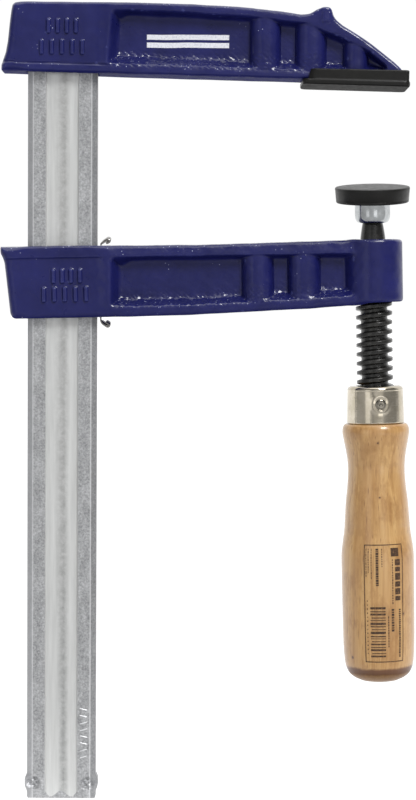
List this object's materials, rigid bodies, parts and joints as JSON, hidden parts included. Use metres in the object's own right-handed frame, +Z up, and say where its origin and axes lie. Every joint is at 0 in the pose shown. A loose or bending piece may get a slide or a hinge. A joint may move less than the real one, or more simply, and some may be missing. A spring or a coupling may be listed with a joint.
{
  "type": "f clamp",
  "caption": "Hand clamp with a steel bar, a fixed and a sliding cast arm, and a wooden-handled spindle with a swivel pad.",
  "frame": {"origin": "the point of the fixed jaw's clamping face that the spindle aims at", "axes": "+Z up along the bar, away from the clamping face into the fixed jaw; +X from the bar towards the spindle; Y = 0 is the plane the clamp lies in"},
  "size_m": [0.1814, 0.0337, 0.3461],
  "materials": {
    "zinc_bar": "zinc-plated, speckled satin",
    "zinc_plate": "bright zinc-plated",
    "blue_enamel": "semi-gloss navy enamel over iron castings",
    "spring_steel": "bare spring steel",
    "black_steel": "black oxide, lightly oiled",
    "nickel": "satin nickel plate",
    "black_plastic": "satin black moulding",
    "beech": "clear-varnished beech"
  },
  "bodies": {
    "clamp_frame": {"bar": "zinc_bar", "fixed_arm": "blue_enamel", "jaw_cap": "black_plastic"},
    "brake": {"brake_spring": "spring_steel"},
    "carriage": {"sliding_arm": "blue_enamel"},
    "spindle_seat": {"thrust_ball": "spring_steel"},
    "spindle_and_handle": {"spindle": "black_steel", "ferrule": "nickel", "ferrule_pin": "nickel", "handle": "beech"},
    "swivel_pad": {"pressure_plate": "zinc_plate", "plate_cap": "black_plastic"}
  },
  "joints": [
    {"name": "arm_slide", "type": "slide", "parent": "clamp_frame", "child": "brake", "axis": [0, 0, 1], "range_m": [-0.194, 0.004]},
    {"name": "arm_rock", "type": "hinge", "parent": "brake", "child": "carriage", "pos_m": [-0.135, 0, -0.0842], "axis": [0, -1, 0], "range_deg": [-3.1, 0.25]},
    {"name": "spindle_feed", "type": "slide", "parent": "carriage", "child": "spindle_seat", "axis": [-0.0253, 0, 0.9997], "range_m": [-0.0041, 0.0321]},
    {"name": "spindle_turn", "type": "hinge", "parent": "spindle_seat", "child": "spindle_and_handle", "pos_m": [-0.00074, 0, -0.05329], "axis": [-0.0253, 0, 0.9997], "range_deg": [-360, 2880]},
    {"name": "plate_tilt", "type": "hinge", "parent": "spindle_seat", "child": "swivel_pad", "pos_m": [-0.00074, 0, -0.05329], "axis": [0.9997, 0, 0.0253], "range_deg": [-21, 4]}
  ],
  "couplings": [
    {"joint": "spindle_feed", "follows": "spindle_turn", "m_per_rad": 0.00063662}
  ]
}
